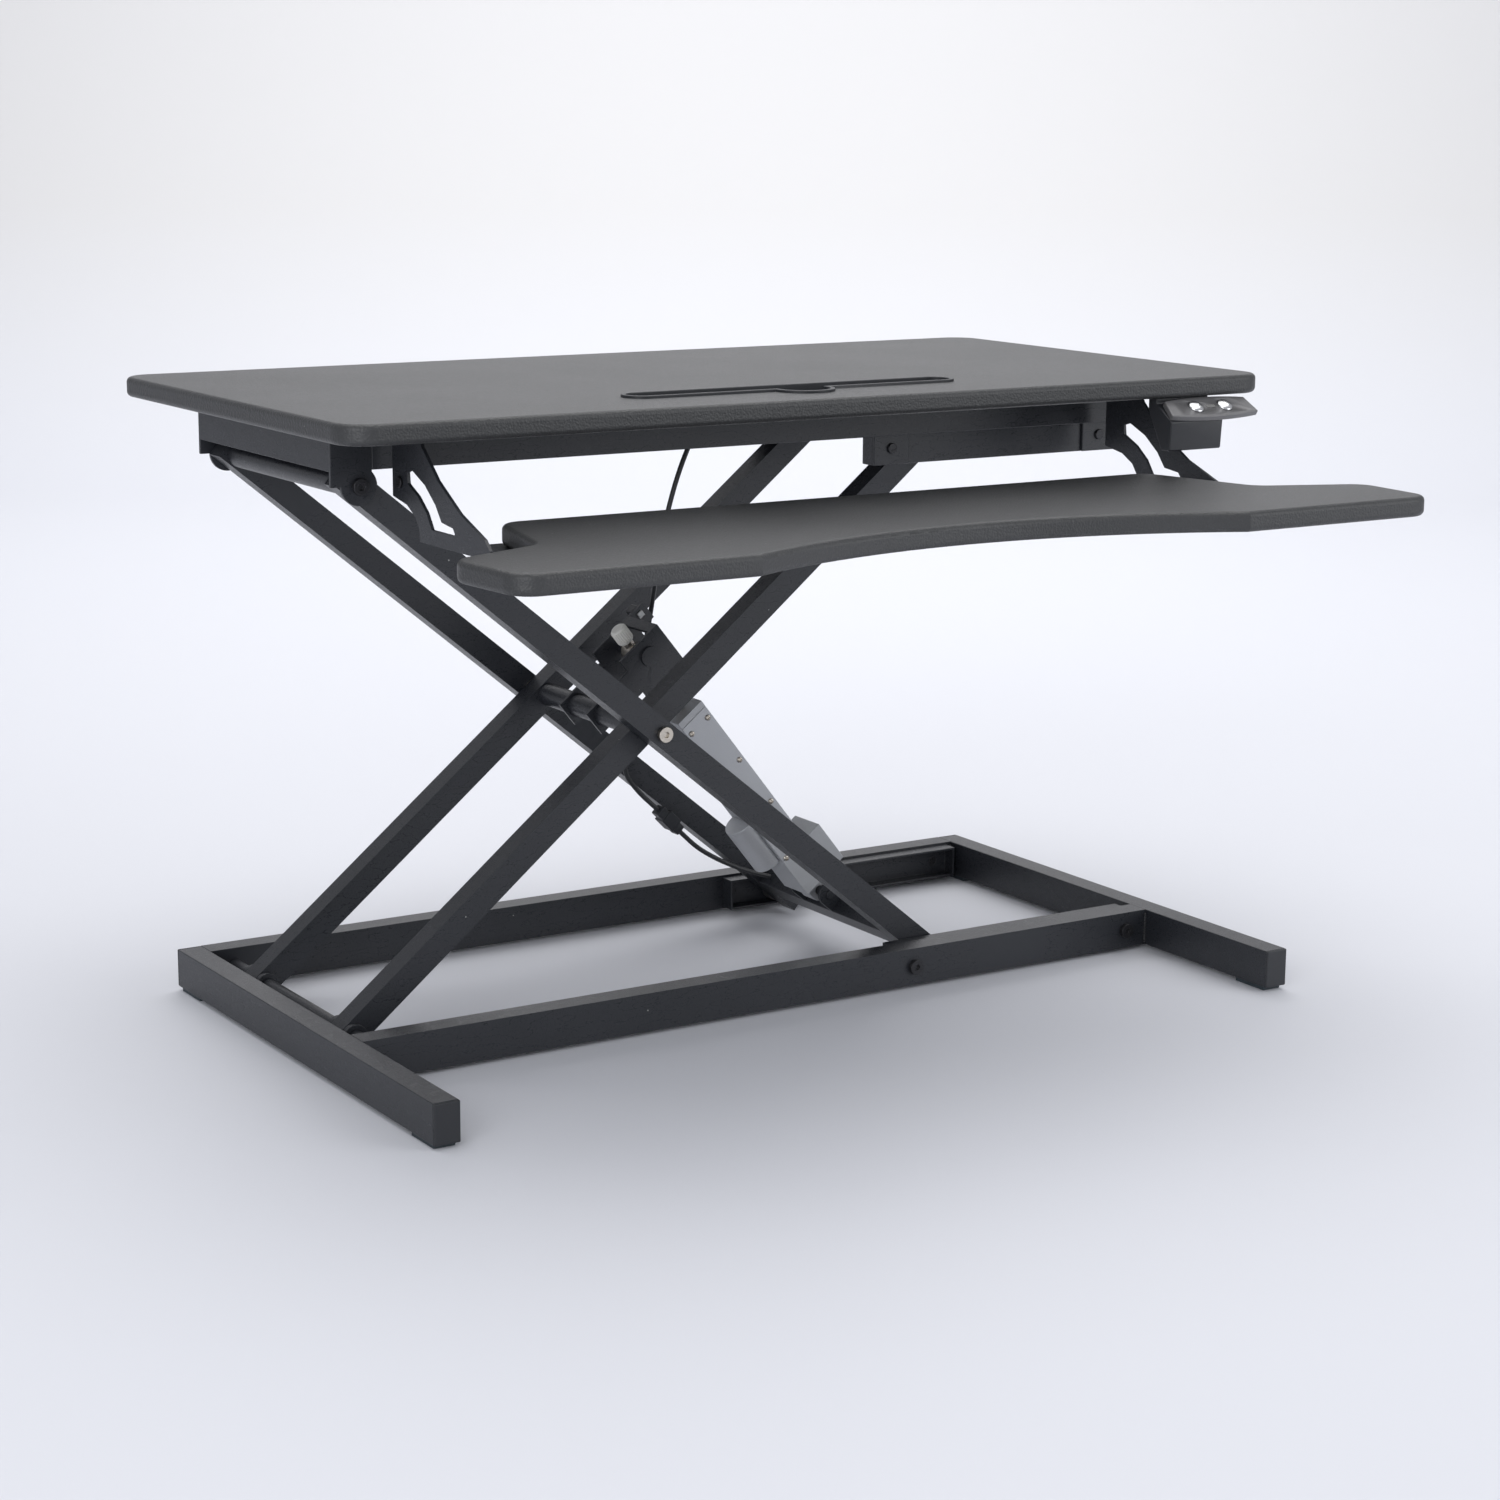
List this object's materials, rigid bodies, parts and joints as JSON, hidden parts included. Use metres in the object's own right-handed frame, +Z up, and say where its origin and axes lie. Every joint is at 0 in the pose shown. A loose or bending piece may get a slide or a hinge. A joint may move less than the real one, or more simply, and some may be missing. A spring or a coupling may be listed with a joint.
{
  "type": "standing desk converter",
  "caption": "Black sit-stand desk converter: a scissor lift on a tubular base raises a desk board and a lower keyboard tray by an electric linear actuator.",
  "frame": {"origin": "centre of the bounding box in plan, at the level of the floor pads' undersides", "axes": "+X along the board's length to the user's right, +Y to the back, +Z up"},
  "size_m": [0.8, 0.6176, 0.4865],
  "materials": {
    "black_plastic": "fine-textured black plastic",
    "board": "fibreboard in black pebble-grain vinyl",
    "bolt": "bright zinc-plated steel",
    "cable": "black jacket",
    "case_metal": "anodised grey aluminium",
    "chrome": "polished",
    "dark_bolt": "blackened steel",
    "grey_plastic": "silver grey painted plastic",
    "nylon": "black nylon roller",
    "rubber": "blue-black rubber",
    "steel": "satin black powder coat",
    "white_plastic": "white nylon"
  },
  "bodies": {
    "base": {"base_left_tube": "steel", "base_right_tube": "steel", "base_front_rail": "steel", "base_rear_rail": "steel", "base_end_caps": "black_plastic", "base_foot_pads": "rubber", "base_front_track": "steel", "base_rear_track": "steel", "hinge_shaft": "dark_bolt", "track_bolts": "dark_bolt"},
    "inner_arms": {"inner_front_arm": "steel", "inner_rear_arm": "steel", "inner_arm_caps": "black_plastic", "inner_middle_tie": "steel", "centre_bolts": "bolt", "upper_roller_axles": "dark_bolt", "lift_bracket": "steel", "cable_block": "black_plastic"},
    "outer_arms": {"outer_front_arm": "steel", "outer_rear_arm": "steel", "outer_arm_caps": "black_plastic", "outer_top_tie": "steel", "lower_roller_axles": "dark_bolt", "lower_beam": "steel", "lower_clevis": "steel", "lift_cable_middle": "cable", "lift_cable_lower": "cable", "cable_connector": "black_plastic"},
    "desk": {"hinge_plate": "steel", "top_front_rail": "steel", "top_rear_rail": "steel", "top_right_end": "steel", "top_front_track": "steel", "top_rear_track": "steel", "track_hangers": "steel", "frame_screws": "dark_bolt", "hinge_bolts": "bolt", "desk_board": "board", "holder_slot": "black_plastic", "keyboard_tray": "board", "left_tray_bracket": "steel", "right_tray_bracket": "steel", "handset_body": "black_plastic", "handset_panel": "grey_plastic", "control_box": "black_plastic", "power_inlet": "black_plastic", "lift_cable_upper": "cable"},
    "button_down": {"button_down": "chrome"},
    "button_up": {"button_up": "chrome"},
    "actuator": {"actuator_case": "case_metal", "case_end_cap": "case_metal", "gear_housing": "case_metal", "lift_motor": "black_plastic"},
    "rod": {"lift_rod": "bolt", "rod_cap": "white_plastic"},
    "lower_front_roller": {"lower_front_roller": "nylon"},
    "lower_rear_roller": {"lower_rear_roller": "nylon"},
    "upper_front_roller": {"upper_front_roller": "nylon"},
    "upper_rear_roller": {"upper_rear_roller": "nylon"}
  },
  "joints": [
    {"name": "lift", "type": "hinge", "parent": "base", "child": "inner_arms", "pos_m": [-0.339, 0.12715, 0.0185], "axis": [0, -1, 0], "range_deg": [-31.67, 1.3]},
    {"name": "scissor", "type": "hinge", "parent": "inner_arms", "child": "outer_arms", "pos_m": [-0.08742, 0.12715, 0.22346], "axis": [0, -1, 0], "range_deg": [-2.8, 63.54]},
    {"name": "desk_hinge", "type": "hinge", "parent": "outer_arms", "child": "desk", "pos_m": [-0.339, 0.12715, 0.42842], "axis": [0, -1, 0], "range_deg": [-31.87, 1.5], "deforming": ["lift_cable_upper"]},
    {"name": "actuator_tilt", "type": "hinge", "parent": "outer_arms", "child": "actuator", "pos_m": [0.12616, 0.12715, 0.04945], "axis": [0, -1, 0], "range_deg": [-0.57, 6.81]},
    {"name": "rod_slide", "type": "slide", "parent": "actuator", "child": "rod", "axis": [0.6254, 0, -0.7803], "range_m": [-0.00323, 0.05537]},
    {"name": "press_down", "type": "slide", "parent": "desk", "child": "button_down", "axis": [0, 0.5592, -0.829], "range_m": [0, 0.0015], "stiffness_N_per_m": 300},
    {"name": "press_up", "type": "slide", "parent": "desk", "child": "button_up", "axis": [0, 0.5592, -0.829], "range_m": [0, 0.0015], "stiffness_N_per_m": 300},
    {"name": "lower_front_roller_spin", "type": "hinge", "parent": "outer_arms", "child": "lower_front_roller", "pos_m": [0.16415, 0.00565, 0.0185], "axis": [0, 1, 0], "continuous": true},
    {"name": "lower_rear_roller_spin", "type": "hinge", "parent": "outer_arms", "child": "lower_rear_roller", "pos_m": [0.16415, 0.24865, 0.0185], "axis": [0, 1, 0], "continuous": true},
    {"name": "upper_front_roller_spin", "type": "hinge", "parent": "inner_arms", "child": "upper_front_roller", "pos_m": [0.16415, 0.02965, 0.42842], "axis": [0, 1, 0], "continuous": true},
    {"name": "upper_rear_roller_spin", "type": "hinge", "parent": "inner_arms", "child": "upper_rear_roller", "pos_m": [0.16415, 0.22465, 0.42842], "axis": [0, 1, 0], "continuous": true}
  ],
  "couplings": [
    {"joint": "scissor", "follows": "lift", "ratio": -2},
    {"joint": "desk_hinge", "follows": "lift", "ratio": 1},
    {"joint": "actuator_tilt", "follows": "lift", "ratio": -0.20553},
    {"joint": "rod_slide", "follows": "lift", "m_per_rad": -0.09837}
  ]
}
